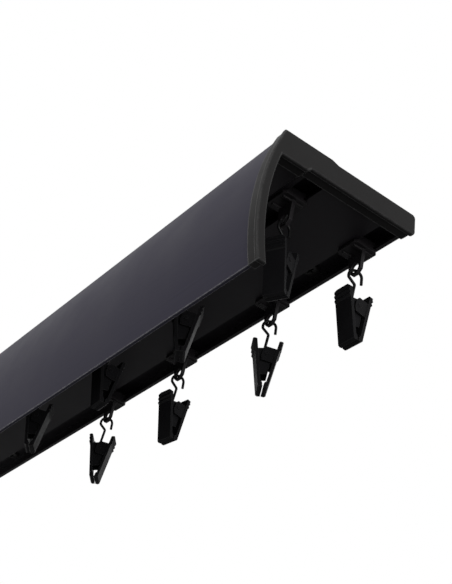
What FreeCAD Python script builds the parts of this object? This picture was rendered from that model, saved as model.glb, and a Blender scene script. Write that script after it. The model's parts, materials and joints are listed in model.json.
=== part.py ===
import FreeCAD, Part
import math
import os
import Sketcher
from FreeCAD import Placement, Rotation, Vector

# Two-row ceiling curtain track with a curved fascia, its end caps, and eight gliders, each with a
# wire hook and a sprung curtain clip. Millimetres. X runs along the track to the near end, Y from
# the room to the wall, Z up. The origin lies on the ceiling face, over the front row, at mid length.

# Driving dimensions
SIZES = [
    ("rail_length", 416.0, "extrusions, between the end walls of the caps"),
    ("row_gap", 43.5, "front channel centre to rear channel centre"),
    ("slot_width", 10.0, "open slot under each channel"),
    ("lip", 1.5, "flange inside the channel, each side of the slot"),
    ("side_wall", 1.2, "upright walls of the rail"),
    ("front_wall", 2.2, "front wall of the rail, with the snap groove"),
    ("front_cell", 9.6, "clear width of the hollow behind the front wall"),
    ("roof_wall", 1.5, "roof over the channels"),
    ("floor_wall", 1.8, "floor with the slots"),
    ("rail_depth", 11.0, "ceiling to the underside of the channels"),
    ("front_drop", 1.7, "front strip of the underside, below the channels"),
    ("drop_start", 2.2, "slot edge to the ramp down to the front strip"),
    ("drop_run", 1.8, "length of that ramp"),
    ("roof_drop", 2.6, "rear part of the roof, below the ceiling"),
    ("raised_rear", 3.3, "raised front part of the roof, behind the front row"),
    ("roof_ramp", 3.6, "ramp from the raised part to the rear roof"),
    ("foot_width", 1.6, "ribs that stand the rear roof off the ceiling"),
    ("foot_offset", 5.0, "rear row to each of those ribs"),
    ("foot_setback", 12.0, "end of the rail to the end of those ribs"),
    ("groove_depth", 1.0, "snap groove in the front wall"),
    ("groove_top", 4.0, "ceiling to the top of the snap groove"),
    ("groove_height", 2.0, "height of the snap groove"),
    ("screw_spacing", 300.0, "screw holes along the track"),
    ("screw_hole", 4.5, "diameter of the screw holes"),
    ("corner_cut", 1.0, "rear lower edge of the rail"),
    ("fascia_height", 69.3, "ceiling to the low edge of the fascia"),
    ("fascia_lead", 5.6, "low edge of the fascia, in front of its top edge"),
    ("fascia_radius", 118.0, "outer face of the fascia"),
    ("fascia_wall", 1.8, "wall of the fascia"),
    ("fascia_top", 1.6, "top edge of the fascia, in front of the rail"),
    ("leg_height", 10.4, "ceiling to the end of the snap leg"),
    ("leg_wall", 1.3, "thickness of the snap leg"),
    ("leg_root", 5.4, "ceiling to where the leg parts from the shell"),
    ("snap_play", 0.3, "snap bead to the top and bottom of its groove"),
    ("fit_gap", 0.1, "between the extrusions and what slips over them"),
    ("cap_wall", 2.0, "end wall of the cap"),
    ("cap_sleeve", 0.9, "wall of the cap's sleeve"),
    ("cap_liner", 0.6, "wall of the sleeve behind the fascia"),
    ("cap_rim", 0.5, "end wall, proud of the sleeve"),
    ("sleeve_length", 4.6, "sleeve, along the track"),
    ("cap_inner_rim", 0.9, "arm of the cap, inside the fascia"),
    ("cap_round", 2.2, "rear corners of the cap"),
    ("plug_length", 7.0, "plugs that enter the rail's middle hollows"),
    ("plug_play", 0.15, "plug to the hollow, each side"),
    ("glide_gap", 0.2, "glider head to the channel floor"),
    ("head_play", 0.4, "glider head to the channel wall"),
    ("head_length", 11.0, "glider head along the track"),
    ("head_height", 2.2, "glider head"),
    ("neck_play", 0.5, "glider neck to the slot edge"),
    ("plate_gap", 0.3, "glider plate to the rail's underside"),
    ("plate_length", 13.0, "glider plate along the track"),
    ("plate_overlap", 1.8, "glider plate past the slot edge"),
    ("plate_height", 1.6, "glider plate"),
    ("plate_corner", 1.4, "cut corners of the glider plate"),
    ("rib_width", 1.4, "ribs across the glider plate"),
    ("rib_height", 0.7, "ribs below the glider plate"),
    ("rib_offset", 3.6, "glider centre to each rib"),
    ("web_wall", 1.8, "web of the glider"),
    ("web_width", 9.6, "web of the glider where it leaves the plate"),
    ("eye_drop", 8.4, "plate to the centre of the eye"),
    ("eye_half", 3.8, "half width of the eye"),
    ("eye_corner", 2.2, "cut lower corners of the eye"),
    ("eye_hole", 2.4, "radius of the hole in the eye"),
    ("wire", 1.2, "diameter of the hook wire"),
    ("wire_seat", 0.45, "hook wire to the bottom of the eye"),
    ("hook_radius", 3.2, "bend of the hook over the eye"),
    ("hook_end", 3.4, "free end of the hook, below its bend"),
    ("hook_kink", 4.5, "stem from the bend to the kink"),
    ("hook_low", 13.3, "stem from the bend to the top of the loop"),
    ("loop_radius", 2.1, "half-round ends of the hook's lower loop"),
    ("loop_run", 2.0, "straight sides of the lower loop"),
    ("loop_tail", 1.9, "top of the loop to the end of the wire"),
    ("wire_bend", 1.4, "bends of the hook's stem"),
    ("loop_bend", 0.7, "bend from the stem into the loop"),
    ("pin", 2.0, "diameter of the clip's pin"),
    ("pin_play", 0.08, "radial, pin in the ears of the other jaw"),
    ("pin_seat", 0.3, "pin to the bottom of the hook's loop"),
    ("pin_end", 0.3, "pin, proud of the ears"),
    ("handle_length", 9.3, "pin to the top of the clip"),
    ("handle_corner", 1.6, "cut corners of the handles"),
    ("jaw_length", 18.0, "pin to the teeth"),
    ("jaw_width", 10.0, "width of the clip"),
    ("jaw_wall", 1.5, "jaw plate"),
    ("jaw_offset", 4.0, "pin to the inner face of the jaw plate"),
    ("jaw_tilt", 9.9, "degrees, each jaw from the clip's middle plane"),
    ("tooth_height", 0.7, "teeth, inward from the jaw plate"),
    ("tooth_pitch", 1.1, "step of the teeth"),
    ("tooth_flat", 0.66, "flat tip of each tooth"),
    ("grip_depth", 0.6, "grip steps on the handles"),
    ("grip_pitch", 2.2, "step of the grip"),
    ("ear_wall", 1.0, "ears of the jaws"),
    ("ear_play", 0.3, "outer ears to the inner ears"),
    ("ear_inset", 0.4, "outer ears, inside the edge of the jaw plate"),
    ("ear_sink", 0.4, "ears, into the jaw plate"),
    ("ear_top", 3.6, "pin to the top of the ears"),
    ("ear_reach", 2.2, "ears, past the pin"),
    ("outer_ear_low", 4.2, "pin to the bottom of the outer ears"),
    ("outer_ear_foot", 5.4, "lower end of the outer ears, out from their jaw plate"),
    ("inner_ear_low", 10.6, "pin to the bottom of the inner ears"),
    ("inner_ear_foot", 3.7, "lower end of the inner ears, out from their jaw plate"),
    ("spring_wire", 0.7, "wire of the clip spring"),
    ("spring_radius", 1.6, "bend of the spring under the pin"),
    ("spring_leg", 6.0, "legs of the spring, up the handles"),
    ("spring_gap", 0.1, "spring to the inner ear and to the handles"),
]

# Each set of glider, hook and clip: its row and number, its distance from the near end of the rail,
# and how far its hook and its clip have turned about the vertical, in degrees
SETS = [
    ("rear_1", 25.2, -15.0, 0.0),
    ("rear_2", 85.0, -28.0, -32.0),
    ("rear_3", 161.4, -14.0, 6.0),
    ("rear_4", 232.5, -30.0, -37.0),
    ("front_1", 22.6, 3.0, 25.0),
    ("front_2", 90.0, -24.0, -32.0),
    ("front_3", 158.0, -20.0, -4.0),
    ("front_4", 229.0, -28.0, -34.0),
]

# Grip steps on each handle and teeth on each jaw
GRIP_STEPS = 3
TEETH = 2

# Flats round the wires and round the clip's pin, and degrees that a wire turns from one run to the next
HOOK_SIDES = 8
SPRING_SIDES = 6
PIN_SIDES = 12
RUN_TURN = 45.0


class Size:
    """A length with the sheet expression that gives it, so that arithmetic keeps both."""

    def __init__(self, value, text):
        self.value = value
        self.text = text

    def __add__(self, other):
        other = as_size(other)
        return Size(self.value + other.value, f"({self.text} + {other.text})")

    def __sub__(self, other):
        other = as_size(other)
        return Size(self.value - other.value, f"({self.text} - {other.text})")

    def __mul__(self, other):
        other = as_size(other)
        return Size(self.value * other.value, f"({self.text} * {other.text})")

    def __truediv__(self, other):
        other = as_size(other)
        return Size(self.value / other.value, f"({self.text} / {other.text})")

    def __neg__(self):
        return Size(-self.value, f"(0 - {self.text})")


def as_size(number):
    return number if isinstance(number, Size) else Size(float(number), f"{number:g}")


def root(size):
    return Size(math.sqrt(size.value), f"sqrt({size.text})")


ZERO = as_size(0)


def make_sheet(doc):
    """The sheet of driving dimensions, one cell each."""
    sheet = doc.addObject("Spreadsheet::Sheet", "Sizes")
    cells = [(alias, value) for alias, value, _ in SIZES]
    for name, from_end, hook_turn, clip_turn in SETS:
        cells += [(f"{name}_from_end", from_end), (f"{name}_hook_turn", hook_turn),
                  (f"{name}_clip_turn", clip_turn)]
    for line, (alias, value) in enumerate(cells, start=1):
        sheet.set(f"A{line}", alias)
        sheet.set(f"B{line}", str(value))
        sheet.setAlias(f"B{line}", alias)
    doc.recompute()
    return {alias: Size(float(sheet.get(alias)), f"Sizes.{alias}") for alias, _ in cells}


# Building blocks


def new_body(doc, name):
    body = doc.addObject("PartDesign::Body", name)
    body.Label = name
    return body


def sketch_on(body, role, name, lift=None):
    """A sketch on one of the body's own origin planes, lifted off it along its normal if asked."""
    sketch = body.newObject("Sketcher::SketchObject", name)
    plane = next(item for item in body.Origin.OriginFeatures if item.Role == role)
    sketch.AttachmentSupport = [(plane, "")]
    sketch.MapMode = "FlatFace"
    if lift is not None:
        sketch.setExpression("AttachmentOffset.Base.z", lift.text)
    return sketch


def hold(sketch, geometry, point, kind, size):
    """Binds one distance of a point from the sketch's origin."""
    index = sketch.addConstraint(Sketcher.Constraint(kind, -1, 1, geometry, point, size.value))
    sketch.setExpression(f"Constraints[{index}]", size.text)


def outline(sketch, corners, arcs=None):
    """A closed outline through the corners. arcs gives the centre and radius of a side that is an arc,
    keyed by the number of the corner that the side leaves."""
    arcs = arcs or {}
    points = [Vector(x.value, y.value, 0) for x, y in corners]
    sides = []
    for number, start in enumerate(points):
        end = points[(number + 1) % len(points)]
        if number in arcs:
            (centre_x, centre_y), radius = arcs[number]
            centre = Vector(centre_x.value, centre_y.value, 0)
            first = math.atan2(start.y - centre.y, start.x - centre.x)
            last = math.atan2(end.y - centre.y, end.x - centre.x)
            forward = math.sin(last - first) > 0
            if not forward:
                first, last = last, first
            circle = Part.Circle(centre, Vector(0, 0, 1), radius.value)
            index = sketch.addGeometry(Part.ArcOfCircle(circle, first, last))
            bound = sketch.addConstraint(Sketcher.Constraint("Radius", index, radius.value))
            sketch.setExpression(f"Constraints[{bound}]", radius.text)
            sides.append((index, 1, 2) if forward else (index, 2, 1))
        else:
            sides.append((sketch.addGeometry(Part.LineSegment(start, end)), 1, 2))
    for number, (index, start, _) in enumerate(sides):
        before, _, end = sides[number - 1]
        sketch.addConstraint(Sketcher.Constraint("Coincident", before, end, index, start))
        hold(sketch, index, start, "DistanceX", corners[number][0])
        hold(sketch, index, start, "DistanceY", corners[number][1])


def rectangle(sketch, left, right, low, high):
    outline(sketch, [(left, low), (right, low), (right, high), (left, high)])


def circle(sketch, centre, radius):
    middle = Vector(centre[0].value, centre[1].value, 0)
    index = sketch.addGeometry(Part.Circle(middle, Vector(0, 0, 1), radius.value))
    hold(sketch, index, 3, "DistanceX", centre[0])
    hold(sketch, index, 3, "DistanceY", centre[1])
    bound = sketch.addConstraint(Sketcher.Constraint("Radius", index, radius.value))
    sketch.setExpression(f"Constraints[{bound}]", radius.text)


def many_sided(sketch, centre, radius, sides):
    """A regular outline with its corners at the radius."""
    corners = []
    for number in range(sides):
        angle = 2 * math.pi * (number + 0.5) / sides
        corners.append((centre[0] + radius * math.cos(angle), centre[1] + radius * math.sin(angle)))
    outline(sketch, corners)


def extrude(body, kind, sketch, length, way="up"):
    """A pad or pocket of the sketch: up and down its normal, or both ways alike."""
    feature = body.newObject(f"PartDesign::{kind}", f"{sketch.Name}_{kind}")
    feature.Profile = sketch
    feature.setExpression("Length", length.text)
    if way == "both":
        feature.SideType = "Symmetric"
    else:
        feature.Reversed = (way == "down") == (kind == "Pad")
    return feature


def dress_edges(doc, body, kind, size, chosen):
    """A fillet or chamfer on the edges that pass the test."""
    doc.recompute()
    base = body.Tip
    names = []
    for number, edge in enumerate(base.Shape.Edges, start=1):
        if chosen(edge, edge.CenterOfMass):
            names.append(f"Edge{number}")
    feature = body.newObject(f"PartDesign::{kind}", f"{base.Name}_{kind}")
    feature.Base = (base, names)
    feature.setExpression("Radius" if kind == "Fillet" else "Size", size.text)
    return feature


def near(value, target):
    return abs(value - target) < 0.01


def bent_path(corners, radii):
    """Points of straight runs round an arc at each inner corner, one radius for each."""
    points = [corners[0]]
    for number, radius in enumerate(radii, start=1):
        corner = corners[number]
        back = (corners[number - 1] - corner).normalize()
        on = (corners[number + 1] - corner).normalize()
        half = back.getAngle(on) / 2
        centre = corner + (back + on).normalize() * (radius / math.sin(half))
        outward = (corner + back * (radius / math.tan(half)) - centre).normalize()
        bend = math.pi - half * 2
        runs = math.ceil(math.degrees(bend) / RUN_TURN - 0.01)
        for run in range(runs):
            angle = bend * (run + 0.5) / runs
            reach = radius / math.cos(bend / runs / 2)
            points.append(centre + outward * (math.cos(angle) * reach) - back * (math.sin(angle) * reach))
    points.append(corners[-1])
    return points


def wire_solid(points, across, diameter, sides):
    """Wire with flats all round, mitred from run to run. across is the normal of the plane it lies in."""
    start = points[0]
    along = (points[1] - start).normalize()
    beside = along.cross(across)
    ring = []
    for number in range(sides + 1):
        angle = 2 * math.pi * (number + 0.5) / sides
        ring.append(start + (across * math.cos(angle) + beside * math.sin(angle)) * (diameter / 2))
    mitred = 1
    return Part.makePolygon(points).makePipeShell([Part.makePolygon(ring)], True, False, mitred)


# Places that several pieces share


class Layout:
    """Lines of the section that the rail, the fascia, the caps and the gliders are built to."""

    def __init__(self, c):
        self.half_slot = c["slot_width"] / 2
        self.half_channel = self.half_slot + c["lip"]
        self.front = -(self.half_channel + c["side_wall"] + c["front_cell"] + c["front_wall"])
        self.rear = c["row_gap"] + self.half_channel + c["side_wall"]
        self.under = -c["rail_depth"]
        self.front_under = self.under - c["front_drop"]
        self.floor = self.under + c["floor_wall"]
        self.rear_roof = -c["roof_drop"]
        self.channel_roof = self.rear_roof - c["roof_wall"]
        self.ramp_start = -(self.half_slot + c["drop_start"])
        self.ramp_end = self.ramp_start - c["drop_run"]
        self.raised = c["raised_rear"]
        self.raised_end = self.raised + c["roof_ramp"]
        self.half_rail = c["rail_length"] / 2
        top = self.front - c["fascia_top"]
        rise = c["fascia_height"]
        lead = c["fascia_lead"]
        chord = root(rise * rise + lead * lead)
        reach = root(c["fascia_radius"] * c["fascia_radius"] - chord * chord / 4)
        self.centre_y = top - lead / 2 + rise * reach / chord
        self.centre_z = -(rise / 2) - lead * reach / chord
        self.centre = (self.centre_y, self.centre_z)
        self.plate_top = self.under - c["plate_gap"]
        self.plate_under = self.plate_top - c["plate_height"]
        self.eye = self.plate_under - c["eye_drop"]
        self.hook_top = self.eye - c["eye_hole"] + c["wire"] / 2 + c["wire_seat"]
        self.hook_bend = self.hook_top - c["hook_radius"]
        self.loop_top = self.hook_bend - c["hook_low"]
        self.loop_low = self.loop_top - c["loop_run"] - c["loop_radius"] * 2
        self.pin = self.loop_low + c["wire"] / 2 + c["pin_seat"] + c["pin"] / 2

    def bow(self, radius, height):
        """The point of a fascia arc of this radius at a height."""
        fall = height - self.centre_z
        return (self.centre_y - root(radius * radius - fall * fall), height)


# The rail


def make_rail(doc, c, at):
    """One extrusion: two slotted channels, three closed hollows, a snap groove and screw holes."""
    body = new_body(doc, "rail")
    groove_low = -(c["groove_top"] + c["groove_height"])
    section = sketch_on(body, "YZ_Plane", "rail_section")
    outline(section, [
        (at.front, ZERO), (at.front, -c["groove_top"]), (at.front + c["groove_depth"], -c["groove_top"]),
        (at.front + c["groove_depth"], groove_low), (at.front, groove_low), (at.front, at.front_under),
        (at.ramp_end, at.front_under), (at.ramp_start, at.under), (at.rear, at.under),
        (at.rear, at.rear_roof), (at.raised_end, at.rear_roof), (at.raised, ZERO)])
    extrude(body, "Pad", section, c["rail_length"], "both")
    dress_edges(doc, body, "Chamfer", c["corner_cut"],
                lambda edge, middle: near(middle.y, at.rear.value) and near(middle.z, at.under.value))
    for row, name in ((ZERO, "front_channel"), (c["row_gap"], "rear_channel")):
        channel = sketch_on(body, "YZ_Plane", name)
        past = at.under - c["floor_wall"]
        outline(channel, [
            (row - at.half_channel, at.channel_roof), (row - at.half_channel, at.floor),
            (row - at.half_slot, at.floor), (row - at.half_slot, past), (row + at.half_slot, past),
            (row + at.half_slot, at.floor), (row + at.half_channel, at.floor),
            (row + at.half_channel, at.channel_roof)])
        extrude(body, "Pocket", channel, c["rail_length"], "both")
    for name, left, right, roof in hollows(c, at):
        hollow = sketch_on(body, "YZ_Plane", name)
        rectangle(hollow, left, right, at.floor, roof)
        extrude(body, "Pocket", hollow, c["rail_length"], "both")
    for side, name in ((-1, "inner_foot"), (1, "outer_foot")):
        foot = sketch_on(body, "YZ_Plane", name)
        middle = c["row_gap"] + c["foot_offset"] * side
        rectangle(foot, middle - c["foot_width"] / 2, middle + c["foot_width"] / 2, at.rear_roof, ZERO)
        extrude(body, "Pad", foot, c["rail_length"] - c["foot_setback"] * 2, "both")
    holes = sketch_on(body, "XY_Plane", "screw_holes")
    for side in (-1, 1):
        for row in (ZERO, c["row_gap"]):
            circle(holes, (c["screw_spacing"] * side / 2, row), c["screw_hole"] / 2)
    extrude(body, "Pocket", holes, -at.floor, "down")
    return body


def hollows(c, at):
    """The closed hollows of the rail, as name, front, rear and top."""
    start = at.half_channel + c["side_wall"]
    end = c["row_gap"] - start
    middle = (start + end) / 2
    half_web = c["side_wall"] / 2
    front_top = -c["roof_wall"]
    return [
        ("front_hollow", at.front + c["front_wall"], -start, front_top),
        ("middle_hollow_1", start, middle - half_web, at.channel_roof),
        ("middle_hollow_2", middle + half_web, end, at.channel_roof),
    ]


# The fascia


def make_fascia(doc, c, at):
    """A bowed cover strip with a leg on its back that snaps into the groove of the rail."""
    body = new_body(doc, "fascia")
    outer = c["fascia_radius"]
    inner = outer - c["fascia_wall"]
    low = -c["fascia_height"]
    back = at.front - c["fit_gap"]
    bead_top = -(c["groove_top"] + c["snap_play"])
    bead_low = -(c["groove_top"] + c["groove_height"] - c["snap_play"])
    tip = at.front + c["groove_depth"] - c["snap_play"]
    section = sketch_on(body, "YZ_Plane", "fascia_section")
    outline(section, [
        at.bow(outer, ZERO), at.bow(outer, low), at.bow(inner, low), at.bow(inner, -c["leg_root"]),
        (back - c["leg_wall"], -c["leg_height"]), (back, -c["leg_height"]), (back, bead_low),
        (tip, bead_low + c["snap_play"]), (tip, bead_top), (back, bead_top), (back, ZERO)],
        {0: (at.centre, outer), 2: (at.centre, inner)})
    extrude(body, "Pad", section, c["rail_length"], "both")
    return body


# The end caps


def cap_outline(c, at, grow, inner_grow):
    """Outside of a cap grown by an amount past the rail and fascia, as corners and arcs."""
    outer = c["fascia_radius"] + grow
    inner = c["fascia_radius"] - c["fascia_wall"] - inner_grow
    low = -(c["fascia_height"] + grow)
    front_under = at.front_under - grow
    corners = [
        at.bow(outer, ZERO), at.bow(outer, low), at.bow(inner, low), at.bow(inner, front_under),
        (at.ramp_end, front_under), (at.ramp_start, at.under - grow), (at.rear + grow, at.under - grow),
        (at.rear + grow, at.rear_roof + grow), (at.raised_end, at.rear_roof + grow), (at.raised, ZERO)]
    return corners, {0: (at.centre, outer), 2: (at.centre, inner)}


def make_cap(doc, c, at, name, side):
    """A moulded cap: an end wall with an arm down the fascia, a sleeve over both extrusions and two
    plugs in the middle hollows. side is 1 at the near end and -1 at the far end."""
    body = new_body(doc, name)
    place = at.half_rail * side
    out, inward = ("up", "down") if side > 0 else ("down", "up")
    rim = c["fit_gap"] + c["cap_sleeve"] + c["cap_rim"]
    sleeve = c["fit_gap"] + c["cap_sleeve"]
    band = sketch_on(body, "YZ_Plane", name + "_sleeve", place)
    outline(band, *cap_outline(c, at, sleeve, c["fit_gap"] + c["cap_liner"]))
    extrude(body, "Pad", band, c["sleeve_length"], inward)
    dress_edges(doc, body, "Chamfer", c["cap_round"] - c["cap_rim"],
                lambda edge, middle: near(middle.y, (at.rear + sleeve).value)
                and near(edge.Length, c["sleeve_length"].value))
    wall = sketch_on(body, "YZ_Plane", name + "_wall", place)
    outline(wall, *cap_outline(c, at, rim, c["cap_inner_rim"]))
    extrude(body, "Pad", wall, c["cap_wall"], out)
    dress_edges(doc, body, "Fillet", c["cap_round"],
                lambda edge, middle: near(middle.y, (at.rear + rim).value)
                and near(edge.Length, c["cap_wall"].value))
    gap = c["fit_gap"]
    outer = c["fascia_radius"] + gap
    inner = c["fascia_radius"] - c["fascia_wall"] - gap
    low = -(c["fascia_height"] + gap)
    past_top = c["roof_drop"]
    front_under = at.front_under - gap
    cavity = sketch_on(body, "YZ_Plane", name + "_cavity", place)
    outline(cavity, [
        at.bow(outer, past_top), at.bow(outer, low), at.bow(inner, low), at.bow(inner, front_under),
        (at.ramp_end, front_under), (at.ramp_start, at.under - gap), (at.rear + gap, at.under - gap),
        (at.rear + gap, past_top)],
        {0: (at.centre, outer), 2: (at.centre, inner)})
    extrude(body, "Pocket", cavity, c["sleeve_length"], inward)
    for hollow, left, right, roof in hollows(c, at)[1:]:
        plug = sketch_on(body, "YZ_Plane", f"{name}_{hollow}_plug", place)
        play = c["plug_play"]
        rectangle(plug, left + play, right - play, at.floor + play, roof - play)
        extrude(body, "Pad", plug, c["plug_length"], inward)
    return body


# The gliders


def make_glider(doc, c, at, name):
    """One moulding: a head that rides in the channel, a neck through the slot, a plate under it and a
    web that ends in the eye for the hook."""
    body = new_body(doc, name)
    head_half = at.half_channel - c["head_play"]
    neck_half = at.half_slot - c["neck_play"]
    plate_half = at.half_slot + c["plate_overlap"]
    head_low = at.floor + c["glide_gap"]
    plate = sketch_on(body, "XY_Plane", name + "_plate", at.plate_under)
    rectangle(plate, -(c["plate_length"] / 2), c["plate_length"] / 2, -plate_half, plate_half)
    extrude(body, "Pad", plate, c["plate_height"])
    dress_edges(doc, body, "Chamfer", c["plate_corner"],
                lambda edge, middle: near(middle.z, (at.plate_under + at.plate_top).value / 2))
    head = sketch_on(body, "YZ_Plane", name + "_head")
    outline(head, [
        (-head_half, head_low), (-neck_half, head_low), (-neck_half, at.plate_top),
        (neck_half, at.plate_top), (neck_half, head_low), (head_half, head_low),
        (head_half, head_low + c["head_height"]), (-head_half, head_low + c["head_height"])])
    extrude(body, "Pad", head, c["head_length"], "both")
    web = sketch_on(body, "XZ_Plane", name + "_web")
    eye = c["eye_half"]
    half = c["web_width"] / 2
    cut = c["eye_corner"]
    low = at.eye - eye
    outline(web, [
        (-half, at.plate_under), (-eye, low + cut), (cut - eye, low), (eye - cut, low), (eye, low + cut),
        (half, at.plate_under)])
    extrude(body, "Pad", web, c["web_wall"], "both")
    hole = sketch_on(body, "XZ_Plane", name + "_eye")
    circle(hole, (ZERO, at.eye), c["eye_hole"])
    extrude(body, "Pocket", hole, c["web_wall"] * 2, "both")
    for side, label in ((-1, "_left_rib"), (1, "_right_rib")):
        rib = sketch_on(body, "YZ_Plane", name + label, c["rib_offset"] * side - c["rib_width"] / 2)
        reach = plate_half - c["plate_corner"]
        rectangle(rib, -reach, reach, at.plate_under - c["rib_height"], at.plate_under)
        extrude(body, "Pad", rib, c["rib_width"])
    return body


# The hooks


def make_hook(doc, c, at, name):
    """Bent wire: a free end, the bend over the eye, a kinked stem and the loop round the clip's pin."""
    bend = c["hook_radius"].value
    small = c["wire_bend"].value
    top = at.hook_top.value
    centre = at.hook_bend.value
    kink = centre - c["hook_kink"].value
    loop_top = at.loop_top.value
    loop_low = at.loop_low.value
    side = c["loop_radius"].value
    wire = c["wire"].value
    corners = [
        Vector(0, bend, centre - c["hook_end"].value), Vector(0, bend, top), Vector(0, -bend, top),
        Vector(0, -bend, centre - wire), Vector(0, 0, kink), Vector(0, -side / 2, loop_top),
        Vector(0, side, loop_top), Vector(0, side, loop_low), Vector(0, -side, loop_low),
        Vector(0, -side, loop_top - c["loop_tail"].value)]
    radii = [bend, bend, small, small, c["loop_bend"].value, side, side, side]
    hook = doc.addObject("Part::Feature", name)
    hook.Label = name
    hook.Shape = wire_solid(bent_path(corners, radii), Vector(1, 0, 0), wire, HOOK_SIDES)
    return hook


# The clips


def jaw_side(c, side):
    """Profile of a jaw plate with its grip steps and teeth, on one side of the pin."""
    near_face = c["jaw_offset"]
    far_face = near_face + c["jaw_wall"]
    middle = (near_face + far_face) / 2
    top = c["handle_length"]
    low = -c["jaw_length"]
    pitch = c["grip_pitch"]
    tooth = c["tooth_height"]
    step = c["tooth_pitch"]
    corners = [(near_face, top - c["jaw_wall"] / 2), (middle, top), (far_face, top)]
    for number in range(GRIP_STEPS):
        start = top - pitch * number
        corners += [(far_face + c["grip_depth"], start - pitch / 2), (far_face, start - pitch)]
    corners += [(far_face, low + tooth), (middle, low)]
    for number in range(TEETH):
        start = low + step * number
        flat_end = start + c["tooth_flat"]
        corners += [(near_face - tooth, start), (near_face - tooth, flat_end),
                    (near_face - tooth / 2, (flat_end + start + step) / 2)]
    corners += [(near_face - tooth, low + step * TEETH), (near_face, low + step * TEETH + tooth)]
    return [(x * side, z) for x, z in corners]


def ear_side(c, side, kind):
    """Outline of an ear, from inside the jaw plate to past the pin."""
    root_face = c["jaw_offset"] + c["ear_sink"]
    reach = -c["ear_reach"]
    low = -c[kind + "_ear_low"]
    foot = c["jaw_offset"] - c[kind + "_ear_foot"]
    corners = [(root_face, c["ear_top"]), (reach / 2, c["ear_top"]), (reach, c["ear_top"] / 2),
               (reach, -c["pin"]), (foot, low), (root_face, low)]
    return [(x * side, z) for x, z in corners]


def make_jaw(doc, c, name, side, kind, ear_face):
    """A jaw: a plate with handle and teeth, and two outer or inner ears whose outer faces lie ear_face
    from the middle. It is drawn upright, with the pin at the origin."""
    body = new_body(doc, name)
    ear_core = ear_face - c["ear_wall"]
    ears = sketch_on(body, "XZ_Plane", name + "_ears")
    outline(ears, ear_side(c, side, kind))
    extrude(body, "Pad", ears, ear_face * 2, "both")
    between = sketch_on(body, "XZ_Plane", name + "_between")
    outline(between, ear_side(c, side, kind))
    extrude(body, "Pocket", between, ear_core * 2, "both")
    plate = sketch_on(body, "XZ_Plane", name + "_plate")
    outline(plate, jaw_side(c, side))
    extrude(body, "Pad", plate, c["jaw_width"], "both")
    corners = sketch_on(body, "YZ_Plane", name + "_corners")
    top = c["handle_length"]
    edge = c["jaw_width"] / 2
    cut = c["handle_corner"]
    for hand in (-1, 1):
        outline(corners, [((edge - cut) * hand, top), (edge * hand, top), (edge * hand, top - cut)])
    extrude(body, "Pocket", corners, c["jaw_offset"] * 4, "both")
    return body


def make_outer_jaw(doc, c, name):
    """The jaw whose ears lie outside and turn on the pin."""
    outer_ear = c["jaw_width"] / 2 - c["ear_inset"]
    body = make_jaw(doc, c, name, 1, "outer", outer_ear)
    bore = sketch_on(body, "XZ_Plane", name + "_bore")
    many_sided(bore, (ZERO, ZERO), c["pin"] / 2 + c["pin_play"], PIN_SIDES)
    extrude(body, "Pocket", bore, c["jaw_width"], "both")
    return body


def make_inner_jaw(doc, c, name):
    """The jaw whose ears lie inside, moulded in one with the pin."""
    outer_ear = c["jaw_width"] / 2 - c["ear_inset"]
    body = make_jaw(doc, c, name, -1, "inner", outer_ear - c["ear_wall"] - c["ear_play"])
    pin = sketch_on(body, "XZ_Plane", name + "_pin")
    many_sided(pin, (ZERO, ZERO), c["pin"] / 2, PIN_SIDES)
    extrude(body, "Pad", pin, (outer_ear + c["pin_end"]) * 2, "both")
    return body


def make_spring(doc, c, name):
    """A bent wire under the pin, with a leg up the inside of each handle."""
    tilt = math.radians(c["jaw_tilt"].value)
    wire = c["spring_wire"].value
    bend = c["spring_radius"].value
    height = c["spring_leg"].value
    stand = c["spring_gap"].value + wire / 2
    reach = (c["jaw_offset"].value - stand) / math.cos(tilt) + height * math.tan(tilt)
    distance = math.hypot(reach, height)
    lean = math.atan2(reach, height) - math.asin(bend / distance)
    ear_face = c["jaw_width"] / 2 - c["ear_inset"] - c["ear_wall"] * 2 - c["ear_play"]
    beside = ear_face.value - stand
    low = -bend / math.sin(lean)
    corners = [Vector(-reach, beside, height), Vector(0, beside, low), Vector(reach, beside, height)]
    spring = doc.addObject("Part::Feature", name)
    spring.Label = name
    spring.Shape = wire_solid(bent_path(corners, [bend]), Vector(0, 1, 0), wire, SPRING_SIDES)
    return spring


# The assembly


def make_set(doc, c, at, name):
    """One glider with its hook and clip, at its place along the track."""
    row = c["row_gap"].value if name.startswith("rear") else 0.0
    along = (at.half_rail - c[name + "_from_end"]).value
    hook_turn = Rotation(Vector(0, 0, 1), c[name + "_hook_turn"].value)
    clip_turn = Rotation(Vector(0, 0, 1), 90 + c[name + "_clip_turn"].value)
    glider = make_glider(doc, c, at, name + "_glider")
    glider.Placement = Placement(Vector(along, row, 0), Rotation())
    hook = make_hook(doc, c, at, name + "_hook")
    hook.Placement = Placement(Vector(along, row, 0), hook_turn)
    pin_place = Placement(Vector(along, row, at.pin.value), clip_turn)
    tilt = c["jaw_tilt"].value
    outer = make_outer_jaw(doc, c, name + "_outer_jaw")
    outer.Placement = pin_place * Placement(Vector(), Rotation(Vector(0, 1, 0), tilt))
    inner = make_inner_jaw(doc, c, name + "_inner_jaw")
    inner.Placement = pin_place * Placement(Vector(), Rotation(Vector(0, 1, 0), -tilt))
    spring = make_spring(doc, c, name + "_spring")
    spring.Placement = pin_place
    return [glider, hook, outer, inner, spring]


def check(doc, parts):
    """Stops if any object failed or any piece is missing or broken."""
    for item in doc.Objects:
        if "Invalid" in item.State or "Error" in item.State:
            raise RuntimeError(f"{item.Name} failed: {item.State}")
    for part in parts:
        shape = part.Shape
        if shape.isNull() or not shape.isValid() or shape.Volume <= 0:
            raise RuntimeError(f"{part.Label} has no valid solid")
        if len(shape.Solids) != 1:
            raise RuntimeError(f"{part.Label} is {len(shape.Solids)} solids")


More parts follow.
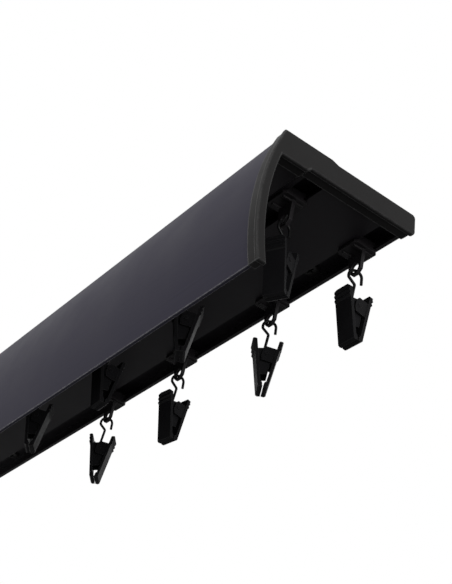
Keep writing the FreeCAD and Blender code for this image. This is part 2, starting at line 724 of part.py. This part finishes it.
def main():
    doc = FreeCAD.newDocument("curtain_track")
    c = make_sheet(doc)
    at = Layout(c)
    parts = [
        make_rail(doc, c, at),
        make_fascia(doc, c, at),
        make_cap(doc, c, at, "near_end_cap", 1),
        make_cap(doc, c, at, "far_end_cap", -1),
    ]
    for name, *_ in SETS:
        parts += make_set(doc, c, at, name)
    doc.recompute()
    check(doc, parts)
    os.makedirs("parts", exist_ok=True)
    for part in parts:
        part.Shape.exportStep(f"parts/{part.Label}.step")
        print(part.Label, round(part.Shape.Volume, 1))


main()
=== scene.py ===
import json
import math

import bmesh
import bpy
from mathutils import Matrix, Vector
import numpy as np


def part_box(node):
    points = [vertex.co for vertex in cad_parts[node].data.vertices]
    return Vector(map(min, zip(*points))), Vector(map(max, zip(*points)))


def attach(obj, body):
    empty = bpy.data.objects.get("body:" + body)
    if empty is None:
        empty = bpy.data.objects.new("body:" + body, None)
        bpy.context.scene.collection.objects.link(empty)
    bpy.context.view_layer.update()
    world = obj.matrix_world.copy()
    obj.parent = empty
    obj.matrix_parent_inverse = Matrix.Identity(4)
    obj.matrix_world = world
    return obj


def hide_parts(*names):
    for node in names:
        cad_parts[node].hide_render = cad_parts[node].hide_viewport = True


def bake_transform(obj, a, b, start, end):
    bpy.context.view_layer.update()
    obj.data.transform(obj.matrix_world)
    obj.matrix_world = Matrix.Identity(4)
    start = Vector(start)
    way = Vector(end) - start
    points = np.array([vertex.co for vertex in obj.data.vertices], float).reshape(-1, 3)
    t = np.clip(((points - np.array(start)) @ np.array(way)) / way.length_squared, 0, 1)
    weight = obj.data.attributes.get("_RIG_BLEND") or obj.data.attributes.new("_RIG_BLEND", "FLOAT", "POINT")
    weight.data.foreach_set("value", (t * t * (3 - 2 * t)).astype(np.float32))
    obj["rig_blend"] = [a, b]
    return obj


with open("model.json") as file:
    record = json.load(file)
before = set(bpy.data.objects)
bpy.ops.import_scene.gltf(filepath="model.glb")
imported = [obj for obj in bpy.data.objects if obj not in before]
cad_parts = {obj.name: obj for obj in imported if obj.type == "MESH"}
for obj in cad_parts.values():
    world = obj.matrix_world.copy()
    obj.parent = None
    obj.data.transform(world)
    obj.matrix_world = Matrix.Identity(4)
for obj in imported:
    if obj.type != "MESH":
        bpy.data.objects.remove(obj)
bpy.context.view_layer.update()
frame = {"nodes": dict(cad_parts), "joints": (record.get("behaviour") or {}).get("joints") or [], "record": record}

MM = 0.001
joints = {joint["name"]: joint for joint in frame["joints"]}
set_names = sorted(name.removesuffix("_slide") for name in joints if name.endswith("_slide"))


# The rail is one black plastic extrusion, with two slotted channels and the hollows between them.
# It is screwed to the ceiling. Its edges leave the die with a small radius, and fine lines run
# along it from end to end.

rail_edge = 0.15 * MM
same_corner = 0.002 * MM
same_face = math.radians(0.5)
smooth_turn = math.radians(32)
sharp_turn = math.radians(35)


def whole_faced(node):
    """A copy of a node, which will stand for it, with the facets of each flat face made one."""
    bpy.ops.object.select_all(action="DESELECT")
    source = frame["nodes"][node]
    piece = source.copy()
    piece.data = source.data.copy()
    piece.parent = None
    piece.name = node + "_finished"
    for key in list(piece.keys()):
        del piece[key]
    bpy.context.scene.collection.objects.link(piece)
    bpy.context.view_layer.objects.active = piece
    piece.select_set(True)
    piece.data.materials.clear()
    bpy.ops.object.mode_set(mode="EDIT")
    bpy.ops.mesh.select_all(action="SELECT")
    bpy.ops.mesh.customdata_custom_splitnormals_clear()
    bpy.ops.mesh.remove_doubles(threshold=same_corner)
    bpy.ops.mesh.dissolve_limited(angle_limit=same_face)
    bpy.ops.object.mode_set(mode="OBJECT")
    return piece


def shade_evenly(piece):
    """Smooth shading over the rounded edges and the bows, with the flat faces left flat."""
    bpy.ops.object.shade_smooth_by_angle(angle=smooth_turn)
    even = piece.modifiers.new("even", "WEIGHTED_NORMAL")
    even.keep_sharp = True
    bpy.ops.object.modifier_apply(modifier=even.name)
    piece.select_set(False)


def soften_edges(piece, edge):
    """Rounds all sharp edges of a piece."""
    bevel = piece.modifiers.new("edges", "BEVEL")
    bevel.width = edge
    bevel.segments = 2
    bevel.limit_method = "ANGLE"
    bevel.angle_limit = sharp_turn
    bevel.loop_slide = False
    bpy.ops.object.modifier_apply(modifier=bevel.name)
    shade_evenly(piece)


def socket_group(name, inputs, outputs):
    """An empty shader node group with its sockets and its two end nodes."""
    group = bpy.data.node_groups.new(name, "ShaderNodeTree")
    for label, kind, value in inputs:
        socket = group.interface.new_socket(name=label, in_out="INPUT", socket_type=kind)
        socket.default_value = value
    for label, kind in outputs:
        group.interface.new_socket(name=label, in_out="OUTPUT", socket_type=kind)
    return group, group.nodes.new("NodeGroupInput"), group.nodes.new("NodeGroupOutput")


def add_node(tree, kind, **values):
    """A node with its properties, and with sockets set by their names."""
    node = tree.nodes.new(kind)
    for key, value in values.items():
        if hasattr(node, key):
            setattr(node, key, value)
        else:
            node.inputs[key.replace("_", " ")].default_value = value
    return node


def surface_group(name, more_inputs=()):
    """A group for a plastic's surface: two shades and a gloss go in, and colour, roughness and
    height come out."""
    return socket_group(name, [
        ("Colour", "NodeSocketColor", (0.02, 0.02, 0.02, 1)),
        ("Light", "NodeSocketColor", (0.04, 0.04, 0.04, 1)),
        ("Gloss", "NodeSocketFloat", 0.4),
        *more_inputs,
    ], [("Colour", "NodeSocketColor"), ("Roughness", "NodeSocketFloat"), ("Height", "NodeSocketFloat")])


def finish_surface(group, start, end, relief, cloud, least_gloss, most_gloss):
    """Mixes the two shades by relief and cloud, shifts the gloss by the cloud between the two
    limits, and puts the relief out as the height."""
    link = group.links.new
    share = add_node(group, "ShaderNodeMath", operation="MULTIPLY")
    link(relief.outputs["Fac"], share.inputs[0])
    link(cloud.outputs["Fac"], share.inputs[1])
    tint = add_node(group, "ShaderNodeMix", data_type="RGBA")
    link(share.outputs["Value"], tint.inputs["Factor"])
    link(start.outputs["Colour"], tint.inputs["A"])
    link(start.outputs["Light"], tint.inputs["B"])
    link(tint.outputs["Result"], end.inputs["Colour"])
    sheen = add_node(group, "ShaderNodeMapRange", From_Min=0.3, From_Max=0.7,
                     To_Min=least_gloss, To_Max=most_gloss)
    link(cloud.outputs["Fac"], sheen.inputs["Value"])
    total = add_node(group, "ShaderNodeMath", operation="ADD")
    link(sheen.outputs["Result"], total.inputs[0])
    link(start.outputs["Gloss"], total.inputs[1])
    link(total.outputs["Value"], end.inputs["Roughness"])
    link(relief.outputs["Fac"], end.inputs["Height"])


def draw_lines_group():
    """Fine lines along an extrusion, with a cloudy change of gloss."""
    group, start, end = surface_group("draw_lines")
    place = add_node(group, "ShaderNodeTexCoord")
    along = add_node(group, "ShaderNodeMapping", Scale=(4, 1800, 1800))
    group.links.new(place.outputs["Object"], along.inputs["Vector"])
    lines = add_node(group, "ShaderNodeTexNoise", Scale=1.0, Detail=4.0, Roughness=0.6)
    group.links.new(along.outputs["Vector"], lines.inputs["Vector"])
    cloud = add_node(group, "ShaderNodeTexNoise", Scale=38.0, Detail=3.0, Roughness=0.55)
    group.links.new(place.outputs["Object"], cloud.inputs["Vector"])
    finish_surface(group, start, end, lines, cloud, least_gloss=-0.04, most_gloss=0.05)
    return group


draw_lines = draw_lines_group()


def painted_edge_highlight_group():
    """A lighter colour on the rounded outer edges, broken into patches: a painted highlight for the light that the
    edges catch.
    """
    group, start, end = socket_group("painted_edge_highlight", [
        ("Colour", "NodeSocketColor", (0.02, 0.02, 0.02, 1)),
        ("Highlight", "NodeSocketColor", (0.05, 0.05, 0.05, 1)),
        ("Width", "NodeSocketFloat", 0.4 * MM),
    ], [("Colour", "NodeSocketColor")])
    link = group.links.new
    rounded = add_node(group, "ShaderNodeBevel", samples=4)
    link(start.outputs["Width"], rounded.inputs["Radius"])
    faces = add_node(group, "ShaderNodeNewGeometry")
    likeness = add_node(group, "ShaderNodeVectorMath", operation="DOT_PRODUCT")
    link(rounded.outputs["Normal"], likeness.inputs[0])
    link(faces.outputs["True Normal"], likeness.inputs[1])
    mask = add_node(group, "ShaderNodeMapRange", From_Min=0.995, From_Max=0.80)
    link(likeness.outputs["Value"], mask.inputs["Value"])
    place = add_node(group, "ShaderNodeTexCoord")
    patches = add_node(group, "ShaderNodeTexNoise", Scale=260.0, Detail=3.0, Roughness=0.6)
    link(place.outputs["Object"], patches.inputs["Vector"])
    share = add_node(group, "ShaderNodeMath", operation="MULTIPLY", use_clamp=True)
    link(mask.outputs["Result"], share.inputs[0])
    link(patches.outputs["Fac"], share.inputs[1])
    tint = add_node(group, "ShaderNodeMix", data_type="RGBA")
    link(share.outputs["Value"], tint.inputs["Factor"])
    link(start.outputs["Colour"], tint.inputs["A"])
    link(start.outputs["Highlight"], tint.inputs["B"])
    link(tint.outputs["Result"], end.inputs["Colour"])
    return group


painted_edge_highlight = painted_edge_highlight_group()


def plastic(name, group, values, specular, bump, bump_depth, edge_highlight, edge_highlight_width):
    """A black plastic whose colour, gloss and relief come from a group, with a painted highlight along its rounded
    edges.
    """
    material = bpy.data.materials.new(name)
    material.use_nodes = True
    tree = material.node_tree
    link = tree.links.new
    shader = tree.nodes["Principled BSDF"]
    shader.inputs["Specular IOR Level"].default_value = specular
    surface = tree.nodes.new("ShaderNodeGroup")
    surface.node_tree = group
    for key, value in values.items():
        surface.inputs[key].default_value = value
    # A painted highlight is mixed into the colour along the rounded outer edges.
    edges = tree.nodes.new("ShaderNodeGroup")
    edges.node_tree = painted_edge_highlight
    edges.inputs["Highlight"].default_value = (edge_highlight, edge_highlight, edge_highlight, 1)
    edges.inputs["Width"].default_value = edge_highlight_width
    relief = add_node(tree, "ShaderNodeBump", Strength=bump, Distance=bump_depth)
    link(surface.outputs["Colour"], edges.inputs["Colour"])
    link(edges.outputs["Colour"], shader.inputs["Base Color"])
    link(surface.outputs["Roughness"], shader.inputs["Roughness"])
    link(surface.outputs["Height"], relief.inputs["Height"])
    link(relief.outputs["Normal"], shader.inputs["Normal"])
    return material


# The rail's colour is set several times darker than the fascia's, though they are one plastic: painted shade for
# its underside, which faces away from the lamps.
rail_shaded_black = plastic("rail_shaded_black", draw_lines, {
    "Colour": (0.0068, 0.0056, 0.0071, 1), "Light": (0.0122, 0.0104, 0.0130, 1), "Gloss": 0.42,
}, specular=0.22, bump=0.25, bump_depth=0.02 * MM, edge_highlight=0.06, edge_highlight_width=0.4 * MM)

rail = whole_faced("rail")
soften_edges(rail, rail_edge)
rail.data.materials.append(rail_shaded_black)
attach(rail, "track")
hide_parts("rail")


# Black steel screws hold the rail up through the roofs of its channels. Their pan heads sit inside
# the channels, above the gliders, and each has a cross recess.

shank_radius = 2.0 * MM
shank_root = 0.3 * MM
head_radius = 4.0 * MM
head_height = 1.7 * MM
head_edge = 0.5 * MM
recess_reach = 2.2 * MM
recess_width = 0.9 * MM
recess_depth = 1.1 * MM

screw_black = bpy.data.materials.new("screw_black")
screw_black.use_nodes = True
tree = screw_black.node_tree
steel = tree.nodes["Principled BSDF"]
steel.inputs["Metallic"].default_value = 0.6
place = add_node(tree, "ShaderNodeTexCoord")
worn = add_node(tree, "ShaderNodeTexNoise", Scale=900.0, Detail=5.0, Roughness=0.6)
tree.links.new(place.outputs["Object"], worn.inputs["Vector"])
steel_colour = add_node(tree, "ShaderNodeMix", data_type="RGBA")
steel_colour.inputs["A"].default_value = (0.008, 0.008, 0.009, 1)
steel_colour.inputs["B"].default_value = (0.030, 0.029, 0.028, 1)
tree.links.new(worn.outputs["Fac"], steel_colour.inputs["Factor"])
tree.links.new(steel_colour.outputs["Result"], steel.inputs["Base Color"])
steel_gloss = add_node(tree, "ShaderNodeMapRange", To_Min=0.3, To_Max=0.5)
tree.links.new(worn.outputs["Fac"], steel_gloss.inputs["Value"])
tree.links.new(steel_gloss.outputs["Result"], steel.inputs["Roughness"])

holes = next(mount for mount in frame["record"]["mounts"] if mount["name"] == "screw_holes")
row_middle = holes["pos_m"][1]
hole_along = holes["dims"]["spacing_x_mm"] / 2 * MM
hole_across = holes["dims"]["spacing_y_mm"] / 2 * MM
roof_under = -4.1 * MM
front_shank_top = -0.1 * MM
rear_shank_top = -2.7 * MM


def combine(piece, tool, operation):
    """Cuts a tool shape out of a piece, or joins it to the piece, and deletes the tool."""
    change = piece.modifiers.new("change", "BOOLEAN")
    change.operation = operation
    change.object = tool
    bpy.context.view_layer.objects.active = piece
    bpy.ops.object.modifier_apply(modifier=change.name)
    bpy.data.objects.remove(tool)


def screw_at(name, along, across, top):
    """One screw: a rounded head under the roof with a cross recess, and a shank up through the hole."""
    bpy.ops.object.select_all(action="DESELECT")
    bpy.ops.mesh.primitive_cylinder_add(vertices=48, radius=head_radius, depth=head_height,
                                        location=(along, across, roof_under - head_height / 2))
    screw = bpy.context.view_layer.objects.active
    screw.name = name
    rounding = screw.modifiers.new("rounding", "BEVEL")
    rounding.width = head_edge
    rounding.segments = 4
    bpy.ops.object.modifier_apply(modifier=rounding.name)
    for reach in ((recess_reach, recess_width / 2), (recess_width / 2, recess_reach)):
        bpy.ops.mesh.primitive_cube_add(size=2, location=(along, across, roof_under - head_height))
        cutter = bpy.context.view_layer.objects.active
        cutter.scale = (*reach, recess_depth)
        combine(screw, cutter, "DIFFERENCE")
    length = top - roof_under + shank_root
    bpy.ops.mesh.primitive_cylinder_add(vertices=32, radius=shank_radius, depth=length,
                                        location=(along, across, top - length / 2))
    combine(screw, bpy.context.view_layer.objects.active, "UNION")
    screw.select_set(True)
    bpy.ops.object.transform_apply(location=True, rotation=True, scale=True)
    bpy.ops.object.shade_smooth_by_angle(angle=smooth_turn)
    screw.select_set(False)
    return screw


for end, end_name in ((-1, "far"), (1, "near")):
    for side, row_name, shank_top in ((-1, "front", front_shank_top), (1, "rear", rear_shank_top)):
        screw = screw_at(f"{row_name}_{end_name}_screw", end * hole_along,
                         row_middle + side * hole_across, shank_top)
        screw.data.materials.append(screw_black)
        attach(screw, "track")


# The fascia is a bowed strip of the same black plastic with a smoother, satin outer face. It is
# extruded with a leg on its back, which snaps into a groove along the front of the rail.

fascia_edge = 0.5 * MM


def bevel_some(piece, width, segments, share_of):
    """Rounds edges by a width, times the share that share_of gives for each edge."""
    mesh = bmesh.new()
    mesh.from_mesh(piece.data)
    layers = mesh.edges.layers.float
    share = layers.get("bevel_weight_edge") or layers.new("bevel_weight_edge")
    for edge in mesh.edges:
        edge[share] = share_of(edge)
    mesh.to_mesh(piece.data)
    mesh.free()
    bevel = piece.modifiers.new("edges", "BEVEL")
    bevel.width = width
    bevel.segments = segments
    bevel.limit_method = "WEIGHT"
    bevel.use_clamp_overlap = False
    bevel.loop_slide = False
    bpy.ops.object.modifier_apply(modifier=bevel.name)


def sharp_outside(edge):
    """1 for an edge that is sharp and points outwards, and 0 for the others."""
    return float(edge.calc_face_angle_signed(0) > sharp_turn)


# The fascia's colour is set several times lighter than the rail's: painted light for its front, which faces the
# lamps.
fascia_lit_black = plastic("fascia_lit_black", draw_lines, {
    "Colour": (0.0235, 0.0220, 0.0330, 1), "Light": (0.0380, 0.0355, 0.0520, 1), "Gloss": 0.50,
# The strong edge value paints a bright highlight line along the fascia's lower edge.
}, specular=0.05, bump=0.2, bump_depth=0.02 * MM, edge_highlight=0.60, edge_highlight_width=0.7 * MM)

fascia = whole_faced("fascia")
bevel_some(fascia, fascia_edge, 2, sharp_outside)
shade_evenly(fascia)
fascia.data.materials.append(fascia_lit_black)
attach(fascia, "track")
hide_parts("fascia")


# The end caps are injection moulded in black plastic with a fine grain. Each slips over the ends
# of the rail and the fascia, and its plugs hold it in the rail's hollows.

cap_edge = 0.2 * MM
cap_end_edge = 0.8 * MM
cap_wall = 2.0 * MM
cap_mouth = 6.6 * MM
rim_share = 0.5
same_place = 0.01 * MM


def lies_at(edge, along):
    """True if both ends of an edge are at one place along the track."""
    return all(abs(vertex.co.x - along) < same_place for vertex in edge.verts)


def cap_softened(node, end):
    """A copy of a cap whose end face has a wide rounded edge. Its inner corners and the mouth of its
    sleeve stay sharp, and the narrow rim behind the end wall gets a share of the rounding."""
    piece = whole_faced(node)
    rim = end - math.copysign(cap_wall, end)
    mouth = end - math.copysign(cap_mouth, end)

    def outer_share(edge):
        """1 for the cap's outer edges, less at the rim, and 0 at the mouth and in the corners."""
        if lies_at(edge, mouth):
            return 0.0
        return sharp_outside(edge) * (rim_share if lies_at(edge, rim) else 1.0)

    bevel_some(piece, cap_end_edge, 3, lambda edge: float(lies_at(edge, end)))
    bevel_some(piece, cap_edge, 2, outer_share)
    shade_evenly(piece)
    return piece


def moulded_group():
    """The fine grain of a mould, with a cloudy change of gloss."""
    group, start, end = surface_group("moulded_grain", [("Grain", "NodeSocketFloat", 3000.0)])
    place = add_node(group, "ShaderNodeTexCoord")
    grain = add_node(group, "ShaderNodeTexNoise", Detail=2.0, Roughness=0.5)
    group.links.new(place.outputs["Object"], grain.inputs["Vector"])
    group.links.new(start.outputs["Grain"], grain.inputs["Scale"])
    cloud = add_node(group, "ShaderNodeTexNoise", Scale=90.0, Detail=4.0, Roughness=0.6)
    group.links.new(place.outputs["Object"], cloud.inputs["Vector"])
    finish_surface(group, start, end, grain, cloud, least_gloss=-0.06, most_gloss=0.08)
    return group


moulded_grain = moulded_group()

cap_black = plastic("cap_black", moulded_grain, {
    "Colour": (0.0100, 0.0096, 0.0096, 1), "Light": (0.0180, 0.0174, 0.0174, 1),
    "Gloss": 0.48, "Grain": 2600.0,
}, specular=0.08, bump=0.35, bump_depth=0.03 * MM, edge_highlight=0.22, edge_highlight_width=0.9 * MM)

for node, side in (("near_end_cap", 1), ("far_end_cap", -1)):
    cap_end = max(side * corner[0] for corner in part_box(node)) * side
    cap = cap_softened(node, cap_end)
    cap.data.materials.append(cap_black)
    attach(cap, "track")
    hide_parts(node)


# The gliders are small smooth mouldings in slippery black plastic. A head rides in the channel,
# and the eye of the web below the plate, with a rounded rim, carries the hook.

glider_edge = 0.2 * MM
eye_edge = 0.5 * MM
eye_radius = 2.4 * MM
eye_level = -21.3 * MM
on_circle = 0.02 * MM


def rounds_eye(edge, along):
    """True if an edge lies on one of the two rims of the eye of a glider."""
    first, second = (vertex.co for vertex in edge.verts)
    if abs(first.y - second.y) > same_place:
        return False
    reaches = [math.hypot(spot.x - along, spot.z - eye_level) for spot in (first, second)]
    return all(abs(reach - eye_radius) < on_circle for reach in reaches)


glider_black = plastic("glider_black", moulded_grain, {
    "Colour": (0.0090, 0.0080, 0.0090, 1), "Light": (0.0160, 0.0145, 0.0160, 1),
    "Gloss": 0.38, "Grain": 4200.0,
}, specular=0.15, bump=0.2, bump_depth=0.015 * MM, edge_highlight=0.05, edge_highlight_width=0.4 * MM)

for name in set_names:
    glider = whole_faced(name + "_glider")
    middle = joints[name + "_hook_swing"]["pos_m"][0]
    bevel_some(glider, eye_edge, 3, lambda edge: float(rounds_eye(edge, middle)))
    soften_edges(glider, glider_edge)
    glider.data.materials.append(glider_black)
    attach(glider, name + "_glider")
    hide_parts(name + "_glider")


# The hooks are bent from round steel wire with a thin black coat. The top bend hangs in the
# glider's eye, and the loop at the bottom goes round the pin of the clip.

wire = 1.2 * MM
coat = 0.1 * MM
hook_bend = 3.2 * MM
hook_end = 3.4 * MM
hook_kink = 4.5 * MM
hook_low = 13.3 * MM
loop_radius = 2.1 * MM
loop_run = 2.0 * MM
loop_tail = 1.9 * MM
stem_bend = 1.4 * MM
loop_bend = 0.7 * MM
arc_steps = 7
round_turn = math.radians(40)


def bent_line(corners, radii):
    """Points along straight runs that are joined by round bends."""
    points = [corners[0]]
    for number, radius in enumerate(radii, start=1):
        corner = corners[number]
        back = (corners[number - 1] - corner).normalized()
        on = (corners[number + 1] - corner).normalized()
        half = back.angle(on) / 2
        middle = (back + on).normalized()
        centre = corner + middle * (radius / math.sin(half))
        first = corner + back * (radius / math.tan(half)) - centre
        last = corner + on * (radius / math.tan(half)) - centre
        for step in range(arc_steps + 1):
            points.append(centre + first.slerp(last, step / arc_steps).normalized() * radius)
    points.append(corners[-1])
    return points


def round_wire(name, points, diameter):
    """A smooth round wire along points, with closed ends, as a mesh."""
    curve = bpy.data.curves.new(name, "CURVE")
    curve.dimensions = "3D"
    curve.bevel_depth = diameter / 2
    curve.bevel_resolution = 3
    curve.use_fill_caps = True
    kept = [points[0]]
    for point in points[1:]:
        if (point - kept[-1]).length > same_place:
            kept.append(point)
    spline = curve.splines.new("POLY")
    spline.points.add(len(kept) - 1)
    for spot, point in zip(spline.points, kept):
        spot.co = (*point, 1)
    piece = bpy.data.objects.new(name, curve)
    bpy.context.scene.collection.objects.link(piece)
    bpy.ops.object.select_all(action="DESELECT")
    bpy.context.view_layer.objects.active = piece
    piece.select_set(True)
    bpy.ops.object.convert(target="MESH")
    piece = bpy.context.view_layer.objects.active
    bpy.ops.object.shade_smooth_by_angle(angle=round_turn)
    piece.select_set(False)
    return piece


hook_black = plastic("hook_black", moulded_grain, {
    "Colour": (0.0050, 0.0050, 0.0052, 1), "Light": (0.0100, 0.0100, 0.0102, 1),
    "Gloss": 0.34, "Grain": 1800.0,
}, specular=0.12, bump=0.15, bump_depth=0.02 * MM, edge_highlight=0.012, edge_highlight_width=0.2 * MM)

kink = hook_bend + hook_kink
loop_top = hook_bend + hook_low
loop_low = loop_top + loop_run + loop_radius * 2
hook_route = [
    (hook_bend, hook_bend + hook_end), (hook_bend, 0), (-hook_bend, 0), (-hook_bend, hook_bend + wire),
    (0, kink), (-loop_radius / 2, loop_top), (loop_radius, loop_top), (loop_radius, loop_low),
    (-loop_radius, loop_low), (-loop_radius, loop_top + loop_tail),
]
hook_bends = [hook_bend, hook_bend, stem_bend, stem_bend, loop_bend, loop_radius, loop_radius, loop_radius]

for name in set_names:
    swing = joints[name + "_hook_swing"]
    top = Vector(swing["pos_m"])
    rearward = Vector(swing["axis"])
    corners = [top + rearward * across + Vector((0, 0, -down)) for across, down in hook_route]
    hook = round_wire(name + "_hook_finished", bent_line(corners, hook_bends), wire + coat * 2)
    hook.data.materials.append(hook_black)
    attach(hook, name + "_hook")
    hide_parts(name + "_hook")


# The clips are two moulded jaws in black plastic. The ears of one jaw turn on a pin that is
# moulded on the other, teeth close on the curtain, and steps on the handles give a grip.

jaw_edge = 0.15 * MM

clip_black = plastic("clip_black", moulded_grain, {
    "Colour": (0.0066, 0.0064, 0.0071, 1), "Light": (0.0132, 0.0129, 0.0140, 1),
    "Gloss": 0.50, "Grain": 3400.0,
}, specular=0.04, bump=0.25, bump_depth=0.02 * MM, edge_highlight=0.06, edge_highlight_width=0.35 * MM)

for name in set_names:
    for node, body in ((name + "_inner_jaw", name + "_clip"), (name + "_outer_jaw", name + "_jaw")):
        jaw = whole_faced(node)
        soften_edges(jaw, jaw_edge)
        jaw.data.materials.append(clip_black)
        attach(jaw, body)
        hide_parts(node)


# The springs are short lengths of blackened wire, bent round under the pin, with a leg up the
# inside of each handle. They hold the clips shut, and their bend follows both jaws.

spring_wire = 0.7 * MM
spring_bend = 1.6 * MM
spring_low = 3.70 * MM
leg_reach = 4.65 * MM
leg_height = 6.0 * MM
ear_gap = 1.85 * MM

spring_black = plastic("spring_black", moulded_grain, {
    "Colour": (0.0100, 0.0100, 0.0105, 1), "Light": (0.0200, 0.0200, 0.0210, 1),
    "Gloss": 0.3, "Grain": 1500.0,
}, specular=0.5, bump=0.1, bump_depth=0.02 * MM, edge_highlight=0.04, edge_highlight_width=0.2 * MM)

for name in set_names:
    hinge = joints[name + "_jaw_open"]
    pin = Vector(hinge["pos_m"])
    along_pin = Vector(hinge["axis"])
    outward = Vector((0, 0, 1)).cross(along_pin)
    ends = [pin + outward * across - along_pin * ear_gap + Vector((0, 0, up)) for across, up in
            ((-leg_reach, leg_height), (0, -spring_low), (leg_reach, leg_height))]
    spring = round_wire(name + "_spring_finished", bent_line(ends, [spring_bend]), spring_wire)
    spring.data.materials.append(spring_black)
    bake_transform(spring, name + "_clip", name + "_jaw",
             start=pin - outward * spring_bend, end=pin + outward * spring_bend)
    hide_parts(name + "_spring")


# The studio. Its floor is a plain pale sheet far under the track, its world is plain white where it
# is seen, and three soft lamps light the track from the room side, the near end and below.

floor_level = -1.4
floor_size = 60
floor_shade = (0.16, 0.16, 0.165, 1)
floor_seen = (0.86, 0.86, 0.86, 1)
floor_mirrored = 0.2
floor_glow = 0.4
world_shade = (0.5, 0.5, 0.5, 1)
white = (1, 1, 1, 1)

bpy.ops.object.select_all(action="DESELECT")
bpy.ops.mesh.primitive_plane_add(size=floor_size, location=(0, 0, floor_level))
floor = bpy.context.view_layer.objects.active
floor.name = "studio_floor"
floor_pale = bpy.data.materials.new("floor_pale")
floor_pale.use_nodes = True
tree = floor_pale.node_tree
matt = tree.nodes["Principled BSDF"]
matt.inputs["Roughness"].default_value = 0.9
matt.inputs["Specular IOR Level"].default_value = 0.1
seen = tree.nodes.new("ShaderNodeLightPath")
shade = add_node(tree, "ShaderNodeMix", data_type="RGBA")
shade.inputs["A"].default_value = floor_shade
shade.inputs["B"].default_value = floor_seen
mirrored = add_node(tree, "ShaderNodeMath", operation="MULTIPLY_ADD")
mirrored.inputs[1].default_value = floor_mirrored
tree.links.new(seen.outputs["Is Glossy Ray"], mirrored.inputs[0])
tree.links.new(seen.outputs["Is Camera Ray"], mirrored.inputs[2])
tree.links.new(mirrored.outputs["Value"], shade.inputs["Factor"])
tree.links.new(shade.outputs["Result"], matt.inputs["Base Color"])
matt.inputs["Emission Color"].default_value = white
glow = add_node(tree, "ShaderNodeMath", operation="MULTIPLY")
glow.inputs[1].default_value = floor_glow
tree.links.new(seen.outputs["Is Camera Ray"], glow.inputs[0])
tree.links.new(glow.outputs["Value"], matt.inputs["Emission Strength"])
floor.data.materials.append(floor_pale)

world = bpy.data.worlds.new("studio")
bpy.context.scene.world = world
world.use_nodes = True
tree = world.node_tree
sky = tree.nodes["Background"]
seen = tree.nodes.new("ShaderNodeLightPath")
straight = add_node(tree, "ShaderNodeMath", operation="MAXIMUM")
tree.links.new(seen.outputs["Is Camera Ray"], straight.inputs[0])
tree.links.new(seen.outputs["Is Glossy Ray"], straight.inputs[1])
showing = add_node(tree, "ShaderNodeMath", operation="MAXIMUM")
tree.links.new(straight.outputs["Value"], showing.inputs[0])
tree.links.new(seen.outputs["Is Transmission Ray"], showing.inputs[1])
level = add_node(tree, "ShaderNodeMix", data_type="RGBA")
level.inputs["A"].default_value = world_shade
level.inputs["B"].default_value = white
tree.links.new(showing.outputs["Value"], level.inputs["Factor"])
tree.links.new(level.outputs["Result"], sky.inputs["Color"])


def soft_lamp(name, place, aim, size, power):
    """A square soft lamp that points at a place on the track."""
    bpy.ops.object.light_add(type="AREA", location=place)
    lamp = bpy.context.view_layer.objects.active
    lamp.name = name
    lamp.data.size = size
    lamp.data.energy = power
    lamp.rotation_euler = (Vector(aim) - Vector(place)).to_track_quat("-Z", "Y").to_euler()


soft_lamp("key_lamp", place=(0.3, -1.6, 0.5), aim=(0, 0, -0.03), size=1.2, power=16)
soft_lamp("side_lamp", place=(1.6, -0.15, -0.2), aim=(0.1, 0, -0.03), size=1.0, power=15)
soft_lamp("low_lamp", place=(-0.9, -0.8, -0.5), aim=(0, 0, -0.05), size=0.6, power=4)


# The camera stands below the near end, on the room side, and looks up along the track, with the
# picture turned a little. Its place and lens come from the lines of the photograph.

camera_place = Vector((477.0, -209.7, -315.7)) * MM
camera_bearing = math.radians(147.49)
camera_climb = math.radians(35.17)
camera_roll = math.radians(8.97)
focal_pixels = 1087
picture_height = 584
sensor = 36
nearest_seen = 10 * MM

ahead = Vector((math.cos(camera_climb) * math.cos(camera_bearing),
                math.cos(camera_climb) * math.sin(camera_bearing), math.sin(camera_climb)))
level_right = ahead.cross(Vector((0, 0, 1))).normalized()
level_up = level_right.cross(ahead)
right = level_right * math.cos(camera_roll) + level_up * math.sin(camera_roll)
up = level_up * math.cos(camera_roll) - level_right * math.sin(camera_roll)
bpy.ops.object.camera_add()
camera = bpy.context.view_layer.objects.active
camera.data.sensor_width = sensor
camera.data.lens = sensor * focal_pixels / picture_height
camera.data.clip_start = nearest_seen
camera_turn = Matrix((right, up, -ahead)).transposed().to_4x4()
camera.matrix_world = Matrix.Translation(camera_place) @ camera_turn
bpy.context.scene.camera = camera

bpy.context.scene.view_settings.view_transform = "Standard"
